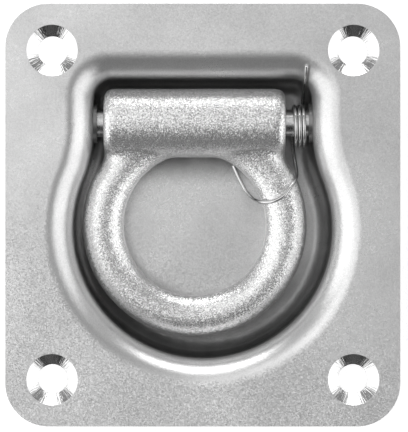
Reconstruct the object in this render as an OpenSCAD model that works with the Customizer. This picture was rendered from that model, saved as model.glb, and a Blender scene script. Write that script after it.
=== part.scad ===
// Recessed lashing ring: a pressed steel pan let into a deck, and a forged ring that lies in it.
// X runs along the hinge pin, Y from the ring's tip towards the pin, Z out of the deck.
// The origin is the middle of the four fixing holes, on the underside of the plate.

/* [Plate] */
// Width of the plate, along the pin
plate_w = 114; // [104:1:130]
// Length of the plate, across the pin
plate_h = 122; // [116:1:140]
// Radius of the plate's corners
plate_corner_r = 12.5; // [6:0.5:18]
// Thickness of the sheet that the pan is pressed from
sheet_t = 4; // [3.5:0.25:4.5]

/* [Fixing holes] */
// Distance between the fixing holes along the pin
hole_span_x = 87; // [85:1:92]
// Distance between the fixing holes across the pin
hole_span_y = 95; // [93:1:100]
// Diameter of a fixing hole
hole_d = 8.5; // [7.5:0.1:9]
// Diameter of a countersink at the plate's face
countersink_d = 14.8; // [11:0.1:15.5]
// Angle of a countersink, from side to side
countersink_angle = 90; // [85:1:120]

/* [Recess] */
// Radius of the round bowl, to its wall
bowl_r = 38; // [36:0.5:40]
// Distance from the plate's middle down to the bowl's centre
bowl_drop = 4; // [2:0.5:6]
// How much narrower than the bowl the throat beside the pin is, on each side
throat_step = 6; // [4:0.5:7]
// How far the end wall behind the pin stands beyond the bowl's circle
end_rise = 6; // [4:0.5:8]
// Radius of the corners beside the end wall
end_corner_r = 6; // [6:0.5:10]
// Radius of the neck where a straight wall runs out into the bowl
neck_r = 40; // [15:1:50]
// Radius of the bend around the mouth, at the face
mouth_r = 8; // [6:0.5:9]
// Radius between the wall and the floor, inside
floor_r = 5; // [3:0.5:6]
// Depth from the plate's face to the floor
recess_depth = 23; // [21:0.5:30]
// How far the rims drawn in around the pin's bores stand off the walls
rim_step = 1; // [0.5:0.1:1.2]
// Thickness of such a rim around its bore
rim_t = 1.6; // [1:0.1:2]

/* [Ring] */
// Diameter of the ring's bar
bar_d = 12; // [10:0.5:13]
// Mean gap between the ring and the bowl's wall
ring_gap = 5; // [4:0.5:8]
// How far the ring's centre lies above the bowl's centre
ring_rise = 1; // [0:0.5:2]
// Diameter of the hinge barrel
barrel_d = 20; // [17:0.5:21]
// Rounding of the barrel's end edges
barrel_round = 2.5; // [1:0.5:4]
// Gap between the barrel and the end wall behind it
barrel_back_gap = 3; // [2:0.5:5]
// Gap between the barrel and the floor
barrel_floor_gap = 0.5; // [0.3:0.1:2]
// Gap between the barrel and the bore's rim on its plain side
barrel_side_gap = 2.1; // [1:0.1:3]
// Width of the two shanks where they run into the barrel
shank_d = 17; // [14:0.5:18]
// Gap under the ring's tip at rest
tip_gap = 0.3; // [0.2:0.1:1]

/* [Hinge pin] */
// Diameter of the pin
pin_d = 8; // [6:0.5:9]
// Radial running clearance in the barrel
bore_clearance = 0.1; // [0.05:0.01:0.1]
// Radial clearance of the pin in the pan's walls
wall_clearance = 0.1; // [0.05:0.01:0.2]
// Diameter of the pin's heads
head_d = 11; // [10:0.5:12]
// Thickness of the formed head
head_t = 3; // [2:0.5:4]
// Thickness of the peened head
peen_t = 2; // [1.5:0.5:3]
// Gap between a head and the wall that it holds
head_gap = 0.1; // [0.05:0.05:0.3]

/* [Spring] */
// Diameter of the spring's wire
wire_d = 1.1; // [0.8:0.1:1.2]
// Slack of the coil around the pin, on the radius
coil_slack = 1.35; // [1:0.05:1.6]
// How far the loaded coil is drawn off the pin's axis
coil_pull = 0.8; // [0.3:0.1:1]
// Spacing of the close turns, beside the wire's diameter
turn_gap = 0.12; // [0.06:0.01:0.2]
// Gap between the barrel and the first turn
coil_start_gap = 1.9; // [1.5:0.1:2.2]
// Gap between the last turn and the bore's rim
coil_end_gap = 0.25; // [0.2:0.05:1]
// Gap between the wire and what it lies on
wire_gap = 0.1; // [0.05:0.01:0.2]

/* [Hidden] */

$fn = 96;
through = 1; // how far a cut runs past the metal

// heights of the pan
face_z = sheet_t;
bend_z = face_z - mouth_r;
floor_z = face_z - recess_depth;
fillet_z = floor_z + floor_r;
base_z = floor_z - sheet_t;

// plan of the pan
bowl_y = -bowl_drop;
end_wall_y = bowl_y + bowl_r + end_rise;
throat_x = bowl_r - throat_step;
corner_x = throat_x - end_corner_r;
corner_y = end_wall_y - end_corner_r;
neck_x = throat_x + neck_r;
neck_y = bowl_y + sqrt(pow(bowl_r + neck_r, 2) - pow(neck_x, 2));
neck_turn = atan2(neck_y - bowl_y, neck_x);
strip = 3; // flat strip that each swept length carries beyond its bend
floor_strip = 0.5; // flat strip inside the floor's fillet

// hinge
bar_r = bar_d / 2;
barrel_r = barrel_d / 2;
pin_r = pin_d / 2;
pin_y = end_wall_y - barrel_back_gap - barrel_r;
pin_z = floor_z + barrel_floor_gap + barrel_r;
wire_r = wire_d / 2;
turn_pitch = wire_d + turn_gap;
coil_turns = 3;
coil_step = 0.05; // turns from one point of the coil to the next
rim_x = throat_x - rim_step;
rim_r = pin_r + wall_clearance + rim_t;
barrel_left = -rim_x + barrel_side_gap;
barrel_right = rim_x - coil_end_gap - wire_d - coil_turns * turn_pitch - coil_start_gap;
barrel_len = barrel_right - barrel_left;
barrel_x = (barrel_left + barrel_right) / 2;
barrel_end_step = 0.3; // how far the shanks stay inside the barrel's outline
foot_step = 0.2; // how far the shanks' feet stay inside the ring's bar
// how far the wall leans out beside a head, where the neck or the mouth's bend has begun there
neck_lean = neck_r - sqrt(pow(neck_r, 2) - pow(max(0, neck_y - pin_y + head_d / 2), 2));
back_r = mouth_r - sheet_t;
bend_lean = back_r - sqrt(pow(back_r, 2) - pow(max(0, pin_z + head_d / 2 - bend_z), 2));
head_seat = throat_x + sheet_t + neck_lean + bend_lean + head_gap;

// ring, measured from the pin's axis
ring_outer_r = bowl_r - ring_gap;
ring_r = ring_outer_r - bar_r;
ring_drop = pin_y - bowl_y - ring_rise;
shank_x = barrel_len / 2 - bar_r;
shank_foot = sqrt(pow(ring_r, 2) - pow(shank_x, 2)) - ring_drop;
foot_turn = atan2(shank_foot + ring_drop, shank_x);
shank_top_r = min(shank_d / 2, barrel_r - barrel_end_step);
shank_top_x = barrel_len / 2 - shank_top_r - barrel_end_step;
tip_z = floor_z + tip_gap + bar_r;
rest_tilt = asin((pin_z - tip_z) / (ring_drop + ring_r));

// coil
coil_r = pin_r + coil_slack + wire_r;
coil_y = pin_y - coil_pull;
coil_z = pin_z;
coil_x = barrel_right + coil_start_gap + wire_r;
wire_lift = wire_r + wire_gap;
wire_sides = 8;

// Points along the recess's outline, moved outwards by grow
function arc(cx, cy, r, from, to, steps) =
    [for (i = [0:steps]) let (a = from + (to - from) * i / steps) [cx + r * cos(a), cy + r * sin(a)]];

function outline(grow) = concat(
    arc(corner_x, corner_y, end_corner_r + grow, 0, 90, 8),
    arc(-corner_x, corner_y, end_corner_r + grow, 90, 180, 8),
    arc(-neck_x, neck_y, neck_r - grow, 0, -neck_turn, 4),
    arc(0, bowl_y, bowl_r + grow, 180 - neck_turn, 360 + neck_turn, 36),
    arc(neck_x, neck_y, neck_r - grow, 180 + neck_turn, 180, 4));

// Section of the pan's wall: X outwards from the wall's inner face, Y up
module wall_section() {
    intersection() {
        translate([mouth_r, bend_z]) ring_2d(mouth_r, mouth_r - sheet_t);
        translate([0, bend_z]) square(mouth_r);
    }
    translate([mouth_r, 0]) square([strip, sheet_t]);
    translate([0, fillet_z]) square([sheet_t, bend_z - fillet_z]);
    intersection() {
        translate([-floor_r, fillet_z]) ring_2d(floor_r + sheet_t, floor_r);
        translate([-floor_r, base_z]) square(floor_r + sheet_t);
    }
    translate([-floor_r - floor_strip, base_z]) square([floor_strip, sheet_t]);
}

module ring_2d(outer, inner) {
    difference() {
        circle(outer);
        circle(inner);
    }
}

// One quarter turn of wall around a corner of the end wall
module corner_wall() {
    translate([corner_x, corner_y])
        rotate_extrude(angle = 90)
            translate([end_corner_r, 0]) wall_section();
}

// Straight wall beside the pin
module side_wall() {
    translate([throat_x, corner_y, 0])
        rotate([90, 0, 0])
            linear_extrude(corner_y - neck_y) wall_section();
}

// Neck between the straight wall and the bowl, bent the other way
module neck_wall() {
    intersection() {
        translate([neck_x, neck_y])
            rotate_extrude()
                translate([neck_r, 0]) mirror([1, 0]) wall_section();
        translate([0, 0, base_z - through])
            linear_extrude(recess_depth + sheet_t + 2 * through)
                polygon([[neck_x, neck_y], [0, neck_y], [0, bowl_y]]);
    }
}

module bowl_wall() {
    far = 2 * plate_h;
    intersection() {
        translate([0, bowl_y])
            rotate_extrude()
                translate([bowl_r, 0]) wall_section();
        translate([0, 0, base_z - through])
            linear_extrude(recess_depth + sheet_t + 2 * through)
                polygon([[0, bowl_y], [neck_x, neck_y], [neck_x, -far], [-neck_x, -far], [-neck_x, neck_y]]);
    }
}

module end_wall() {
    translate([-corner_x, end_wall_y, 0])
        rotate([90, 0, 90])
            linear_extrude(2 * corner_x) wall_section();
}

// Rim of metal drawn in around a bore of the pin
module bore_rim() {
    translate([rim_x, pin_y, pin_z])
        rotate([0, 90, 0]) cylinder(r = rim_r, h = rim_step + sheet_t / 2);
}

module plate_outline() {
    x = plate_w / 2 - plate_corner_r;
    y = plate_h / 2 - plate_corner_r;
    square([plate_w, 2 * y], center = true);
    square([2 * x, plate_h], center = true);
    for (i = [-1, 1], j = [-1, 1])
        translate([i * x, j * y]) circle(plate_corner_r);
}

module fixing_hole() {
    sink_h = (countersink_d - hole_d) / 2 / tan(countersink_angle / 2);
    translate([0, 0, -through]) cylinder(d = hole_d, h = sheet_t + 2 * through);
    translate([0, 0, face_z - sink_h])
        cylinder(d1 = hole_d, d2 = countersink_d, h = sink_h);
    translate([0, 0, face_z]) cylinder(d = countersink_d, h = through);
}

module pan_plate() {
    color("silver")
        difference() {
            union() {
                linear_extrude(sheet_t)
                    difference() {
                        plate_outline();
                        polygon(outline(mouth_r + strip / 2));
                    }
                translate([0, 0, base_z])
                    linear_extrude(sheet_t) polygon(outline(-floor_r - floor_strip / 2));
                end_wall();
                bowl_wall();
                for (side = [0, 1])
                    mirror([side, 0, 0]) {
                        corner_wall();
                        side_wall();
                        neck_wall();
                        bore_rim();
                    }
            }
            for (i = [-1, 1], j = [-1, 1])
                translate([i * hole_span_x / 2, j * hole_span_y / 2, 0]) fixing_hole();
            translate([-plate_w / 2, pin_y, pin_z])
                rotate([0, 90, 0]) cylinder(r = pin_r + wall_clearance, h = plate_w);
        }
}

// Barrel with rounded end edges, along X from its middle
module barrel() {
    r = min(barrel_round, barrel_r - pin_r - bore_clearance);
    rotate([0, 90, 0])
        rotate_extrude() {
            translate([0, -barrel_len / 2]) square([barrel_r - r, barrel_len]);
            translate([0, r - barrel_len / 2]) square([barrel_r, barrel_len - 2 * r]);
            for (end = [-1, 1])
                translate([barrel_r - r, end * (barrel_len / 2 - r)]) circle(r);
        }
}

// Tapered shank that carries an end of the barrel down into the ring
module shank() {
    lean = atan2(shank_x - shank_top_x, -shank_foot);
    length = norm([shank_x - shank_top_x, shank_foot]);
    translate([shank_x, shank_foot, 0])
        rotate([0, 0, lean])
            rotate([-90, 0, 0]) cylinder(r1 = bar_r - foot_step, r2 = shank_top_r, h = length);
}

// The ring lies along -Y from the pin's axis, then tips down until it rests in the pan
module lashing_ring() {
    color("lightgray")
        translate([barrel_x, pin_y, pin_z])
            rotate([rest_tilt, 0, 0])
                difference() {
                    union() {
                        barrel();
                        translate([0, -ring_drop, 0])
                            rotate_extrude() translate([ring_r, 0]) circle(bar_r);
                        shank();
                        mirror([1, 0, 0]) shank();
                    }
                    translate([-barrel_len, 0, 0])
                        rotate([0, 90, 0]) cylinder(r = pin_r + bore_clearance, h = 2 * barrel_len);
                }
}

// Head on the outside of a wall, with a chamfered rim
module head(thick) {
    chamfer = thick / 3;
    cylinder(d = head_d, h = thick - chamfer);
    translate([0, 0, thick - chamfer])
        cylinder(d1 = head_d, d2 = head_d - 2 * chamfer, h = chamfer);
}

module hinge_pin() {
    color("darkgray")
        translate([0, pin_y, pin_z])
            rotate([0, 90, 0]) {
                cylinder(r = pin_r, h = 2 * head_seat, center = true);
                translate([0, 0, head_seat]) head(peen_t);
                mirror([0, 0, 1]) translate([0, 0, head_seat]) head(head_t);
            }
}

// A point of the coil, by the turns wound around the pin from its lowest point, over +Y first
function coil_point(turns) = let (a = 360 * turns - 90) [
    coil_x + turn_pitch * turns,
    coil_y + coil_r * cos(a),
    coil_z + coil_r * sin(a)];

// A point beside the ring's bar: along the bar from the shank's foot in bar radii, round the bar
// from outside over the top, and off it in wire diameters
function bar_point(along, round_bar, off) = let (
    round_ring = foot_turn + along * bar_r / ring_r * 180 / PI,
    d = bar_r + wire_lift + off * wire_d,
    flat_r = ring_r + d * cos(round_bar),
    y = flat_r * sin(round_ring) - ring_drop,
    z = d * sin(round_bar)) [
    barrel_x + flat_r * cos(round_ring),
    pin_y + y * cos(rest_tilt) - z * sin(rest_tilt),
    pin_z + y * sin(rest_tilt) + z * cos(rest_tilt)];

// A point on the mouth's bend at the end wall's corner: round the corner, and up the bend
function bend_point(round_corner, up_bend) = let (
    d = mouth_r + wire_lift,
    flat_r = end_corner_r + mouth_r - d * cos(up_bend)) [
    corner_x + flat_r * cos(round_corner),
    corner_y + flat_r * sin(round_corner),
    bend_z + d * sin(up_bend)];

// Hook over the ring's arm, from its tip in the eye back to the coil
hook_turns = [
    [1.27, 214, 0.74], [0.8, 207, 1.53], [0.17, 201, 2.19], [-0.55, 194, 2.36], [-1.01, 185, 1.88],
    [-1.38, 172, 1.21], [-1.61, 154, 0.65], [-1.73, 137, 0.17], [-1.78, 122, 0], [-1.78, 108, 0],
    [-1.68, 85, 0], [-1.53, 70, 0], [-1.39, 56, 0], [-1.27, 39, 0], [-1.16, 23, 0.03], [-1.02, 10, 0.26],
    [-0.85, -2, 0.67], [-0.61, -12, 1.51]];
hook = [for (t = hook_turns) bar_point(t[0], t[1], t[2])];
hook_end = hook[len(hook) - 1];

// Where the hook's leg leaves the coil, and the coil itself
leg_out = [coil_x, (hook_end[1] + coil_y) / 2, coil_z - 0.88 * coil_r];
coil = [for (turns = [0:coil_step:coil_turns - coil_step]) coil_point(turns)];

// Leg that leaves the coil at its foot and stands against the bend behind the pin
bend_turns = [[48.5, 8], [52, 21.5], [57, 35], [62, 48.5], [66.5, 62]];
leg_up = concat([
    [corner_x + 0.6 * end_corner_r, coil_y + 0.85 * coil_r, coil_z - 0.85 * coil_r],
    [corner_x + 0.6 * end_corner_r, corner_y + 0.28 * end_corner_r, coil_z]],
    [for (t = bend_turns) bend_point(t[0], t[1])]);

wire_route = concat(
    smooth(concat(hook, [leg_out, coil[0]])),
    coil,
    smooth(concat([coil_point(coil_turns)], leg_up)),
    [leg_up[len(leg_up) - 1]]);

// Smooth curve through chosen points, as far as the last one
function smooth(p, steps = 4) = let (n = len(p) - 1)
    [for (i = [0:n - 1], k = [0:steps - 1])
        spline(p[max(i - 1, 0)], p[i], p[i + 1], p[min(i + 2, n)], k / steps)];

function spline(a, b, c, d, t) =
    0.5 * (2 * b + (c - a) * t + (2 * a - 5 * b + 4 * c - d) * t * t + (3 * b - a - 3 * c + d) * t * t * t);

function unit(v) = v / norm(v);

module torsion_spring() {
    color("gainsboro") wire(wire_route, wire_r);
}

module wire(p, r) {
    n = len(p);
    m = wire_sides;
    points = [for (i = [0:n - 1]) let (
        t = unit(p[min(i + 1, n - 1)] - p[max(i - 1, 0)]),
        u = unit(cross(t, [1, 0, 0])),
        v = cross(t, u))
        for (j = [0:m - 1]) p[i] + r * (u * cos(360 * j / m) + v * sin(360 * j / m))];
    sides = [for (i = [0:n - 2], j = [0:m - 1]) let (k = (j + 1) % m)
        [i * m + j, i * m + k, (i + 1) * m + k, (i + 1) * m + j]];
    first_cap = [for (j = [m - 1:-1:0]) j];
    last_cap = [for (j = [0:m - 1]) (n - 1) * m + j];
    polyhedron(points, concat(sides, [first_cap, last_cap]));
}

pan_plate();
lashing_ring();
hinge_pin();
torsion_spring();
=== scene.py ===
import math

import bpy
from mathutils import Matrix, Vector


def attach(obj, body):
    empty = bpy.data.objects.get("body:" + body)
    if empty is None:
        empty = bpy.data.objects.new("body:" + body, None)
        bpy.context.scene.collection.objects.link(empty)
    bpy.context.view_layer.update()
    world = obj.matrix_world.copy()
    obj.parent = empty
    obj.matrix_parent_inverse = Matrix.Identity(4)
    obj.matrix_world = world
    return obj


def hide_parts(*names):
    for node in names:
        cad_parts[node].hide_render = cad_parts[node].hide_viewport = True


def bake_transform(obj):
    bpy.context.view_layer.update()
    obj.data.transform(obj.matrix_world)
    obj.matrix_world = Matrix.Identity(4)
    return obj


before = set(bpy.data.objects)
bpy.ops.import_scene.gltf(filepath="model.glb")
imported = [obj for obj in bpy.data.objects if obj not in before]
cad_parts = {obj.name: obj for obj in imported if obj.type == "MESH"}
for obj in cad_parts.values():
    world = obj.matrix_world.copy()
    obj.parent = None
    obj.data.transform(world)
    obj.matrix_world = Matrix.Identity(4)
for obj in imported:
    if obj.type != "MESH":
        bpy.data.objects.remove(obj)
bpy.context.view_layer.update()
print("frame loaded:", ", ".join(sorted(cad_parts)))


# ---- handling pieces

def takeUp(piece):  # the only piece selected, and the active one
    bpy.ops.object.select_all(action="DESELECT")
    piece.select_set(True)
    bpy.context.view_layer.objects.active = piece


def named(name):  # names what was just added
    piece = bpy.context.object
    piece.name = piece.data.name = name
    return piece


def applied(piece, kind, **settings):
    takeUp(piece)
    modifier = piece.modifiers.new(kind.title(), kind)
    for key, value in settings.items():
        setattr(modifier, key, value)
    bpy.ops.object.modifier_apply(modifier=modifier.name)


def settle(piece):  # place, turn and size go into the mesh
    takeUp(piece)
    bpy.ops.object.transform_apply(location=True, rotation=True, scale=True)


def copyNode(node, name):
    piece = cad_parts[node].copy()
    piece.data = piece.data.copy()
    piece.name = piece.data.name = name
    bpy.context.scene.collection.objects.link(piece)
    piece.parent = None
    for key in [k for k in piece.keys() if k.startswith("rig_")]:
        del piece[key]
    takeUp(piece)
    bpy.ops.object.mode_set(mode="EDIT")
    bpy.ops.mesh.select_all(action="SELECT")
    bpy.ops.mesh.customdata_custom_splitnormals_clear()
    bpy.ops.mesh.remove_doubles(threshold=0.000002)
    bpy.ops.object.mode_set(mode="OBJECT")
    return piece


def easeEdges(piece, width, segments=2, angle=32):  # small radius on every sharp edge
    takeUp(piece)
    bpy.ops.object.mode_set(mode="EDIT")
    bpy.ops.mesh.select_all(action="SELECT")
    bpy.ops.mesh.dissolve_limited(angle_limit=math.radians(0.3))
    bpy.ops.object.mode_set(mode="OBJECT")
    applied(piece, "BEVEL", width=width, segments=segments, limit_method="ANGLE",
            angle_limit=math.radians(angle), use_clamp_overlap=True)
    bpy.ops.object.shade_smooth_by_angle(angle=math.radians(angle))
    applied(piece, "WEIGHTED_NORMAL", keep_sharp=True, weight=80)


# ---- node trees

def put(tree, kind, settings=None, inputs=None):
    node = tree.nodes.new(kind)
    for key, value in (settings or {}).items():
        setattr(node, key, value)
    for key, value in (inputs or {}).items():
        if isinstance(value, bpy.types.NodeSocket):
            tree.links.new(value, node.inputs[key])
        else:
            node.inputs[key].default_value = value
    return node


def maths(tree, operation, *values, clamp=False):
    inputs = dict(enumerate(values))
    return put(tree, "ShaderNodeMath", {"operation": operation, "use_clamp": clamp}, inputs).outputs[0]


def ramp(tree, value, low, high, toLow=0.0, toHigh=1.0):
    settings = {"interpolation_type": "SMOOTHSTEP"}
    inputs = {"Value": value, "From Min": low, "From Max": high, "To Min": toLow, "To Max": toHigh}
    return put(tree, "ShaderNodeMapRange", settings, inputs).outputs["Result"]


def mixed(tree, factor, first, second):
    node = put(tree, "ShaderNodeMix", {"data_type": "RGBA"})
    for key, value in ((0, factor), (6, first), (7, second)):
        if isinstance(value, bpy.types.NodeSocket):
            tree.links.new(value, node.inputs[key])
        else:
            node.inputs[key].default_value = value
    return node.outputs[2]


def grey(level):
    return (level, level, level, 1.0)


# ---- shared effect: the grain of a plated surface

def makePlatedGrain():
    tree = bpy.data.node_groups.new("platedGrain", "ShaderNodeTree")
    sockets = tree.interface
    for name, kind, value in (("Vector", "NodeSocketVector", None), ("Grain Scale", "NodeSocketFloat", 2500.0),
                              ("Patch Scale", "NodeSocketFloat", 40.0), ("Facet Tilt", "NodeSocketFloat", 0.1)):
        socket = sockets.new_socket(name=name, in_out="INPUT", socket_type=kind)
        if value is not None:
            socket.default_value = value
    for name, kind in (("Normal", "NodeSocketVector"), ("Height", "NodeSocketFloat"),
                       ("Speckle", "NodeSocketFloat"), ("Patches", "NodeSocketFloat")):
        sockets.new_socket(name=name, in_out="OUTPUT", socket_type=kind)
    given = put(tree, "NodeGroupInput").outputs
    out = put(tree, "NodeGroupOutput")
    vector, scale = given["Vector"], given["Grain Scale"]
    wander = put(tree, "ShaderNodeTexNoise", None, {"Vector": vector, "Scale": scale, "Detail": 1.0}).outputs["Color"]
    pushed = put(tree, "ShaderNodeVectorMath", {"operation": "MULTIPLY_ADD"},
                 {0: wander, 1: (0.0004, 0.0004, 0.0004), 2: vector}).outputs[0]
    facets = put(tree, "ShaderNodeTexVoronoi", {"feature": "F1"}, {"Vector": pushed, "Scale": scale}).outputs
    fine = put(tree, "ShaderNodeTexVoronoi", {"feature": "F1"},
               {"Vector": pushed, "Scale": maths(tree, "MULTIPLY", scale, 1.9)}).outputs
    lean = put(tree, "ShaderNodeVectorMath", {"operation": "ADD"}, {0: facets["Color"], 1: fine["Color"]}).outputs[0]
    lean = put(tree, "ShaderNodeVectorMath", {"operation": "SUBTRACT"}, {0: lean, 1: (1.0, 1.0, 1.0)}).outputs[0]
    lean = put(tree, "ShaderNodeVectorMath", {"operation": "SCALE"}, {0: lean, "Scale": given["Facet Tilt"]}).outputs[0]
    straight = put(tree, "ShaderNodeNewGeometry").outputs["Normal"]
    normal = put(tree, "ShaderNodeVectorMath", {"operation": "ADD"}, {0: straight, 1: lean}).outputs[0]
    normal = put(tree, "ShaderNodeVectorMath", {"operation": "NORMALIZE"}, {0: normal}).outputs[0]
    tree.links.new(normal, out.inputs["Normal"])
    patches = put(tree, "ShaderNodeTexNoise", None,
                  {"Vector": vector, "Scale": given["Patch Scale"], "Detail": 3.0, "Roughness": 0.55}).outputs["Fac"]
    tree.links.new(ramp(tree, patches, 0.32, 0.68), out.inputs["Patches"])
    coarse = put(tree, "ShaderNodeSeparateXYZ", None, {"Vector": facets["Color"]}).outputs["Z"]
    small = put(tree, "ShaderNodeSeparateXYZ", None, {"Vector": fine["Color"]}).outputs["X"]
    speckle = maths(tree, "ADD", maths(tree, "MULTIPLY", coarse, 0.7), maths(tree, "MULTIPLY", small, 0.3))
    tree.links.new(speckle, out.inputs["Speckle"])
    dimples = maths(tree, "ADD", facets["Distance"], maths(tree, "MULTIPLY", fine["Distance"], 0.5))
    tree.links.new(dimples, out.inputs["Height"])
    return tree


platedGrain = makePlatedGrain()


def makeMetal(name, look, extraHeight=None, paintedShade=None, grit=None):
    material = bpy.data.materials.new(name)
    material.use_nodes = True
    tree = material.node_tree
    shader = tree.nodes["Principled BSDF"]
    place = put(tree, "ShaderNodeTexCoord").outputs["Object"]
    tilt = maths(tree, "MULTIPLY", grit(tree, place), look["facetTilt"]) if grit else look["facetTilt"]
    grain = put(tree, "ShaderNodeGroup", {"node_tree": platedGrain},
                {"Vector": place, "Grain Scale": look["grainScale"], "Patch Scale": look["patchScale"], "Facet Tilt": tilt}).outputs
    tone = maths(tree, "ADD", maths(tree, "MULTIPLY", grain["Patches"], 1.0 - look["speckle"]),
                 maths(tree, "MULTIPLY", grain["Speckle"], look["speckle"]), clamp=True)
    color = mixed(tree, tone, grey(look["dark"]), grey(look["light"]))
    # base colour darkens towards the grey of the painted shade where its mask says
    if paintedShade:
        color = mixed(tree, paintedShade(tree, place), color, grey(look["paintedShade"]))
    tree.links.new(color, shader.inputs["Base Color"])
    rough = ramp(tree, tone, 0.0, 1.0, look["roughHigh"], look["roughLow"])
    tree.links.new(rough, shader.inputs["Roughness"])
    height = maths(tree, "MULTIPLY", grain["Height"], look["grainDepth"])
    if extraHeight:
        height = maths(tree, "ADD", height, extraHeight(tree, place))
    normal = put(tree, "ShaderNodeVectorMath", {"operation": "ADD"}, {0: grain["Normal"], 1: (0.0, 0.0, look.get("lift", 0.0))})
    bump = put(tree, "ShaderNodeBump", None, {"Height": height, "Distance": 1.0, "Strength": 1.0, "Normal": normal.outputs[0]})
    tree.links.new(bump.outputs["Normal"], shader.inputs["Normal"])
    shader.inputs["Metallic"].default_value = look["metallic"]
    shader.inputs["Sheen Weight"].default_value = look.get("sheen", 0.0)
    shader.inputs["Sheen Roughness"].default_value = 0.35
    return material


# ---- pan

pan = {
    "edge": 0.00025,  # radius left by deburring
    "holes": (0.0435, 0.0475),  # middle of a fixing hole, mirrored in X and Y
    "sinkRadius": 0.0074,
    "face": 0.004,
    "bowlY": -0.004,
    "bowlRadius": 0.038,
    "look": {"grainScale": 3800.0, "patchScale": 34.0, "facetTilt": 0.06, "speckle": 0.6, "dark": 0.56, "light": 0.82,
             # the last entry is the grey of the painted shade in the recess and under the barrel
             "roughLow": 0.27, "roughHigh": 0.33, "grainDepth": 0.000003, "metallic": 0.76, "paintedShade": 0.17},
    "turnedLook": {"grainScale": 5200.0, "patchScale": 260.0, "facetTilt": 0.02, "speckle": 0.3, "dark": 0.64,
                   "light": 0.84, "roughLow": 0.12, "roughHigh": 0.20, "grainDepth": 0.000001, "metallic": 1.0,
                   "lift": 0.35},  # its shading leans this far up, so that the cones catch light as in the photograph
    "scuffed": 3.2,  # how much rougher its lower left is
    "bore": (0.027, -0.0085),
    "endWallShade": 0.5,  # the painted shade's strength on the end wall behind the barrel
    "barrelY": (0.0080, 0.0170),  # where the painted shadow under the barrel begins, and where it is full
    "barrelX": 0.027,
    "drawLine": (0.0011, 0.000006),  # spacing and depth of the draw lines around the bowl
    "turnedLine": (0.00028, 0.0000035),  # spacing and depth of the cutter's rings
    "chatter": (17.0, 260.0, 0.00010),  # streaks from hole to rim: how many, how broken, how deep
}


def drawLines(tree, place):
    spacing, depth = pan["drawLine"]
    parts = put(tree, "ShaderNodeSeparateXYZ", None, {"Vector": place}).outputs
    fromBowl = maths(tree, "SUBTRACT", parts["Y"], pan["bowlY"])
    radius = maths(tree, "SQRT", maths(tree, "ADD", maths(tree, "POWER", parts["X"], 2.0), maths(tree, "POWER", fromBowl, 2.0)))
    wander = put(tree, "ShaderNodeTexNoise", None, {"Vector": place, "Scale": 90.0, "Detail": 1.0}).outputs["Fac"]
    phase = maths(tree, "ADD", maths(tree, "MULTIPLY", maths(tree, "ADD", radius, parts["Z"]), 2 * math.pi / spacing),
                  maths(tree, "MULTIPLY", wander, 3.0))
    wall = maths(tree, "MULTIPLY", ramp(tree, parts["Z"], -0.0185, -0.016), ramp(tree, parts["Z"], -0.006, -0.011))
    near = ramp(tree, radius, pan["bowlRadius"] - 0.006, pan["bowlRadius"] - 0.004)
    return maths(tree, "MULTIPLY", maths(tree, "MULTIPLY", maths(tree, "SINE", phase), depth), maths(tree, "MULTIPLY", wall, near))


def paintedShadeMask(tree, place):  # painted shade: darkens the drawn wall, the floor at its foot, the rims of the pin's bores and the floor under the barrel, where shade falls
    parts = put(tree, "ShaderNodeSeparateXYZ", None, {"Vector": place}).outputs
    upright = put(tree, "ShaderNodeSeparateXYZ", None, {"Vector": put(tree, "ShaderNodeNewGeometry").outputs["Normal"]}).outputs["Z"]
    # painted shade on the steep drawn wall below the mouth bend
    wall = maths(tree, "MULTIPLY", ramp(tree, upright, 0.97, 0.60), ramp(tree, parts["Z"], -0.0045, -0.0095))
    wall = maths(tree, "MULTIPLY", wall, ramp(tree, parts["Y"], 0.033, 0.038, 1.0, pan["endWallShade"]))
    fromBowl = maths(tree, "SUBTRACT", parts["Y"], pan["bowlY"])
    radius = maths(tree, "SQRT", maths(tree, "ADD", maths(tree, "POWER", parts["X"], 2.0), maths(tree, "POWER", fromBowl, 2.0)))
    # painted shade on the floor along the wall's foot
    low = ramp(tree, parts["Z"], -0.016, -0.0185)
    reach = maths(tree, "ADD", radius, ramp(tree, parts["Y"], -0.008, -0.034, 0.0, 0.005))
    foot = maths(tree, "MULTIPLY", ramp(tree, reach, 0.028, 0.035), ramp(tree, parts["Y"], 0.0, -0.034, 0.5, 0.97))
    # painted shadow on the floor under the barrel
    start, full = pan["barrelY"]
    barrel = maths(tree, "MULTIPLY", ramp(tree, parts["Y"], start, full),
                   ramp(tree, maths(tree, "ABSOLUTE", parts["X"]), pan["barrelX"] + 0.004, pan["barrelX"]))
    floorShade = maths(tree, "MULTIPLY", low, maths(tree, "MAXIMUM", foot, barrel))
    offY = maths(tree, "SUBTRACT", parts["Y"], pan["bore"][0])
    offZ = maths(tree, "SUBTRACT", parts["Z"], pan["bore"][1])
    fromBore = maths(tree, "SQRT", maths(tree, "ADD", maths(tree, "POWER", offY, 2.0), maths(tree, "POWER", offZ, 2.0)))
    # painted shade around the pin's bores in the side walls
    rims = maths(tree, "MULTIPLY", ramp(tree, fromBore, 0.0072, 0.0060), 0.9)
    wall = maths(tree, "MAXIMUM", wall, rims)
    # the painted shade's strength varies a little at random
    cloud = put(tree, "ShaderNodeTexNoise", None, {"Vector": place, "Scale": 160.0, "Detail": 3.0}).outputs["Fac"]
    return maths(tree, "MULTIPLY", maths(tree, "MAXIMUM", wall, floorShade), ramp(tree, cloud, 0.1, 0.9, 0.75, 1.0))


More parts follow.
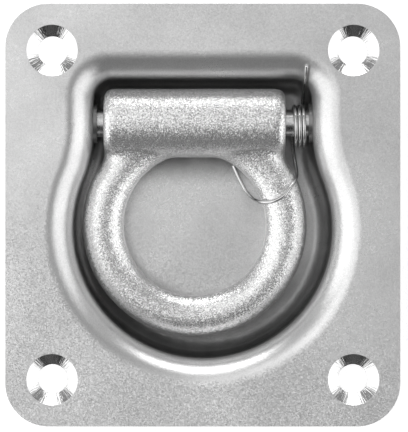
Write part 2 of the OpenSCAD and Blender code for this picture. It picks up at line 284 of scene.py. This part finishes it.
def scuffs(tree, place):  # the plate is smooth at the top and rougher towards its lower left
    parts = put(tree, "ShaderNodeSeparateXYZ", None, {"Vector": place}).outputs
    upright = put(tree, "ShaderNodeSeparateXYZ", None, {"Vector": put(tree, "ShaderNodeNewGeometry").outputs["Normal"]}).outputs["Z"]
    down = maths(tree, "ADD", parts["Y"], maths(tree, "MULTIPLY", parts["X"], 0.4))
    flat = maths(tree, "MULTIPLY", ramp(tree, upright, 0.96, 0.99), ramp(tree, down, 0.0, -0.045))
    return maths(tree, "ADD", 1.0, maths(tree, "MULTIPLY", flat, pan["scuffed"] - 1.0))


def turnedLines(tree, place):
    spacing, depth = pan["turnedLine"]
    parts = put(tree, "ShaderNodeSeparateXYZ", None, {"Vector": place}).outputs
    offX = maths(tree, "SUBTRACT", maths(tree, "ABSOLUTE", parts["X"]), pan["holes"][0])
    offY = maths(tree, "SUBTRACT", maths(tree, "ABSOLUTE", parts["Y"]), pan["holes"][1])
    radius = maths(tree, "SQRT", maths(tree, "ADD", maths(tree, "POWER", offX, 2.0), maths(tree, "POWER", offY, 2.0)))
    rings = maths(tree, "MULTIPLY", maths(tree, "SINE", maths(tree, "MULTIPLY", radius, 2 * math.pi / spacing)), depth)
    perTurn, along, chatter = pan["chatter"]
    turn = maths(tree, "MULTIPLY", maths(tree, "ARCTAN2", offY, offX), perTurn)
    spread = put(tree, "ShaderNodeCombineXYZ", None, {"X": turn, "Y": maths(tree, "MULTIPLY", radius, along),
                                                      "Z": maths(tree, "MULTIPLY", parts["X"], 50.0)}).outputs[0]
    streaks = put(tree, "ShaderNodeTexNoise", None, {"Vector": spread, "Scale": 1.0, "Detail": 2.0}).outputs["Fac"]
    return maths(tree, "ADD", rings, maths(tree, "MULTIPLY", streaks, chatter))


panZinc = makeMetal("panZinc", pan["look"], drawLines, paintedShadeMask, scuffs)
turnedSteel = makeMetal("turnedSteel", pan["turnedLook"], turnedLines)

pressedPan = copyNode("pan_plate", "pressedPan")
easeEdges(pressedPan, pan["edge"])
pressedPan.data.materials.clear()
pressedPan.data.materials.append(panZinc)
pressedPan.data.materials.append(turnedSteel)
for face in pressedPan.data.polygons:  # the four countersinks are cut after plating's grain
    away = math.hypot(abs(face.center.x) - pan["holes"][0], abs(face.center.y) - pan["holes"][1])
    onCone = away < pan["sinkRadius"] and face.center.z < pan["face"] - 0.0001 and 0.4 < face.normal.z < 0.9
    face.material_index = 1 if onCone else 0
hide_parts("pan_plate")
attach(pressedPan, "pan")
print("pan dressed,", len(pressedPan.data.polygons), "faces")


# ---- lashing ring: a forging, so its arms run softly into the barrel

ring = {
    "pinAxis": (-0.002405, 0.027, -0.0085),  # middle of the barrel
    "tilt": 4.23,  # degrees that the ring's tip hangs down
    "drop": 0.030,
    "meanRadius": 0.027,
    "barRadius": 0.0061,
    "barrelRadius": 0.0101,
    "barrelLength": 0.0532,
    "barrelRound": 0.0025,
    "shankFoot": (0.0200, -0.0130),
    "shankTop": 0.0170,
    "shankRadii": (0.0068, 0.0095),
    "shankFlat": 0.84,  # their height against their width
    "boreRadius": 0.0041,
    "voxel": 0.00045,
    "easing": 22,  # rounds of smoothing over the whole forging
    "filletEasing": 120,  # and where the arms run into the barrel
    "filletFrom": (-0.0075, -0.0110, -0.0170),  # fillets begin, are full as far as, and end, from the pin down
    "look": {"grainScale": 4000.0, "patchScale": 70.0, "facetTilt": 0.36, "speckle": 0.95, "dark": 0.60, "light": 1.0,
             "roughLow": 0.12, "roughHigh": 0.18, "grainDepth": 0.000004, "metallic": 0.75, "sheen": 1.0,
             "lift": 0.24},  # its shading leans this far up, so that the flanks catch light as in the photograph
}


def forgeRing():
    parts = []
    bpy.ops.mesh.primitive_torus_add(major_segments=160, minor_segments=56, major_radius=ring["meanRadius"],
                                     minor_radius=ring["barRadius"], location=(0, -ring["drop"], 0))
    parts.append(named("lashingRing"))
    bpy.ops.mesh.primitive_cylinder_add(vertices=96, radius=ring["barrelRadius"], depth=ring["barrelLength"],
                                        rotation=(0, math.radians(90), 0))
    barrel = named("barrel")
    applied(barrel, "BEVEL", width=ring["barrelRound"], segments=6, limit_method="ANGLE", angle_limit=math.radians(60))
    parts.append(barrel)
    for side in (-1, 1):
        foot = Vector((side * ring["shankFoot"][0], ring["shankFoot"][1], 0))
        top = Vector((side * ring["shankTop"], 0, 0))
        run = top - foot
        bpy.ops.mesh.primitive_cone_add(vertices=64, radius1=ring["shankRadii"][0], radius2=ring["shankRadii"][1],
                                        depth=run.length, location=(foot + top) / 2,
                                        rotation=run.to_track_quat("Z", "Y").to_euler())
        shank = named("shank")
        settle(shank)
        shank.scale = (1, 1, ring["shankFlat"])
        parts.append(shank)
    bpy.ops.object.select_all(action="DESELECT")
    for part in parts:
        part.select_set(True)
    bpy.context.view_layer.objects.active = parts[0]
    bpy.ops.object.join()
    forging = bpy.context.object
    settle(forging)
    applied(forging, "REMESH", mode="VOXEL", voxel_size=ring["voxel"], use_smooth_shade=True)
    applied(forging, "SMOOTH", factor=0.5, iterations=ring["easing"])
    begin, full, end = ring["filletFrom"]
    fillets = forging.vertex_groups.new(name="fillets")
    for vertex in forging.data.vertices:
        y = vertex.co.y
        share = min((begin - y) / (begin - full), (y - end) / (full - end))
        if share > 0 and vertex.co.length > 0.012:
            fillets.add([vertex.index], min(share * 1.5, 1.0), "REPLACE")
    applied(forging, "SMOOTH", factor=0.5, iterations=ring["filletEasing"], vertex_group="fillets")
    forging.vertex_groups.remove(forging.vertex_groups["fillets"])
    return forging


lashingRing = forgeRing()
bpy.ops.mesh.primitive_cylinder_add(vertices=96, radius=ring["boreRadius"], depth=2 * ring["barrelLength"],
                                    rotation=(0, math.radians(90), 0))
bore = named("bore")
applied(lashingRing, "BOOLEAN", operation="DIFFERENCE", object=bore, solver="EXACT")
bpy.data.objects.remove(bore)
lashingRing.rotation_euler = (math.radians(ring["tilt"]), 0, 0)
lashingRing.location = ring["pinAxis"]
settle(lashingRing)
bpy.ops.object.shade_smooth_by_angle(angle=math.radians(40))
lashingRing.data.materials.clear()
lashingRing.data.materials.append(makeMetal("ringZinc", ring["look"]))
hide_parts("lashing_ring")
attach(lashingRing, "ring")
print("ring forged,", len(lashingRing.data.polygons), "faces")


# ---- hinge pin

pin = {
    "edge": 0.0003,
    "look": {"grainScale": 3000.0, "patchScale": 120.0, "facetTilt": 0.05, "speckle": 0.4, "dark": 0.58, "light": 0.76,
             "roughLow": 0.20, "roughHigh": 0.28, "grainDepth": 0.000003, "metallic": 0.95},
}
hingePin = copyNode("hinge_pin", "hingePin")
easeEdges(hingePin, pin["edge"], segments=3)
hingePin.data.materials.clear()
hingePin.data.materials.append(makeMetal("pinZinc", pin["look"]))
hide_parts("hinge_pin")
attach(hingePin, "pan")
print("pin dressed,", len(hingePin.data.polygons), "faces")


# ---- torsion spring

spring = {
    "fatten": 0.00004,  # what smoothing takes off the wire
    "panSide": (0.0262, 0.0208, 0),  # the wire's pan side begins here
    "ringSide": (0.0267, 0.0166, 0),  # and its ring side here
    "look": {"grainScale": 3800.0, "patchScale": 200.0, "facetTilt": 0.03, "speckle": 0.3, "dark": 0.56, "light": 0.72,
             "roughLow": 0.16, "roughHigh": 0.24, "grainDepth": 0.000002, "metallic": 0.95},
}
torsionSpring = copyNode("torsion_spring", "torsionSpring")
bpy.ops.object.mode_set(mode="EDIT")
bpy.ops.mesh.select_all(action="SELECT")
bpy.ops.mesh.tris_convert_to_quads(face_threshold=math.radians(60), shape_threshold=math.radians(60))
bpy.ops.transform.shrink_fatten(value=spring["fatten"])
bpy.ops.object.mode_set(mode="OBJECT")
applied(torsionSpring, "SUBSURF", levels=2, render_levels=2)
bpy.ops.object.shade_smooth_by_angle(angle=math.radians(50))
torsionSpring.data.materials.clear()
torsionSpring.data.materials.append(makeMetal("springWire", spring["look"]))
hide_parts("torsion_spring")
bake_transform(torsionSpring)
print("spring dressed,", len(torsionSpring.data.polygons), "faces")


# ---- floor, light and camera

studio = {
    "floorZ": -0.0231,
    "floorGlow": 0.45,
    "behind": 1.0,  # what the camera sees past the floor
    "fill": 0.015,
    "softLights": (  # where it stands, degrees to its full strength and to its edge, brightness
        ((-0.05, 0.24, 1.0), 14, 47, 0.78),
        ((-0.92, -0.20, 0.34), 30, 45, 1.64),
        ((0.92, -0.20, 0.34), 30, 45, 1.56),
        ((-0.66, 0.62, 0.36), 16, 32, 0.26),
        ((0.66, 0.62, 0.36), 16, 32, 0.26),
        ((0.0, 0.98, 0.04), 23, 34, 3.9),
        ((0.0, -0.95, 0.30), 12, 24, 0.08),
    ),
    "lean": ((-0.90, 0.10, 0.0), 0.9),  # which way the light from above grows, and how much
}

bpy.ops.mesh.primitive_plane_add(size=6, location=(0, 0, studio["floorZ"]))
floor = named("floor")
paleFloor = bpy.data.materials.new("paleFloor")
paleFloor.use_nodes = True
floorShader = paleFloor.node_tree.nodes["Principled BSDF"]
floorShader.inputs["Base Color"].default_value = grey(0.9)
floorShader.inputs["Roughness"].default_value = 0.9
floorShader.inputs["Emission Color"].default_value = grey(1.0)
floorShader.inputs["Emission Strength"].default_value = studio["floorGlow"]
floor.data.materials.append(paleFloor)

world = bpy.context.scene.world or bpy.data.worlds.new("studio")
bpy.context.scene.world = world
world.use_nodes = True
tree = world.node_tree
tree.nodes.clear()
direction = put(tree, "ShaderNodeTexCoord").outputs["Generated"]
leanTo, leanBy = studio["lean"]
across = put(tree, "ShaderNodeVectorMath", {"operation": "DOT_PRODUCT"}, {0: direction, 1: leanTo}).outputs["Value"]
lean = ramp(tree, across, -0.35, 0.35, 1.0 - leanBy, 1.0 + leanBy)
level = studio["fill"]
for stands, full, edge, brightness in studio["softLights"]:
    along = put(tree, "ShaderNodeVectorMath", {"operation": "DOT_PRODUCT"},
                {0: direction, 1: Vector(stands).normalized()}).outputs["Value"]
    glow = ramp(tree, along, math.cos(math.radians(edge)), math.cos(math.radians(full)), 0.0, brightness)
    if stands[2] > 0.9:
        glow = maths(tree, "MULTIPLY", glow, lean)
    level = maths(tree, "ADD", level, glow)
seen = put(tree, "ShaderNodeLightPath").outputs["Is Camera Ray"]
level = maths(tree, "ADD", maths(tree, "MULTIPLY", level, maths(tree, "SUBTRACT", 1.0, seen)),
              maths(tree, "MULTIPLY", seen, studio["behind"]))
backdrop = put(tree, "ShaderNodeBackground", None, {"Color": grey(1.0), "Strength": level})
put(tree, "ShaderNodeOutputWorld", None, {"Surface": backdrop.outputs[0]})

camera = {
    "above": 0.654,  # 650 mm over the plate's face
    "middle": (0.00035, -0.00029),
    "frameHeight": 0.1246,  # what the image's 432 pixels take in at the face
    "sensor": 36.0,
}
bpy.ops.object.camera_add(location=(*camera["middle"], camera["above"]), rotation=(0, 0, 0))
lens = bpy.context.object
lens.name = "camera"
lens.data.sensor_width = camera["sensor"]
lens.data.lens = camera["sensor"] * (camera["above"] - pan["face"]) / camera["frameHeight"]
lens.data.clip_start = 0.01
bpy.context.scene.camera = lens
bpy.context.scene.view_settings.view_transform = "Standard"
print("studio set")
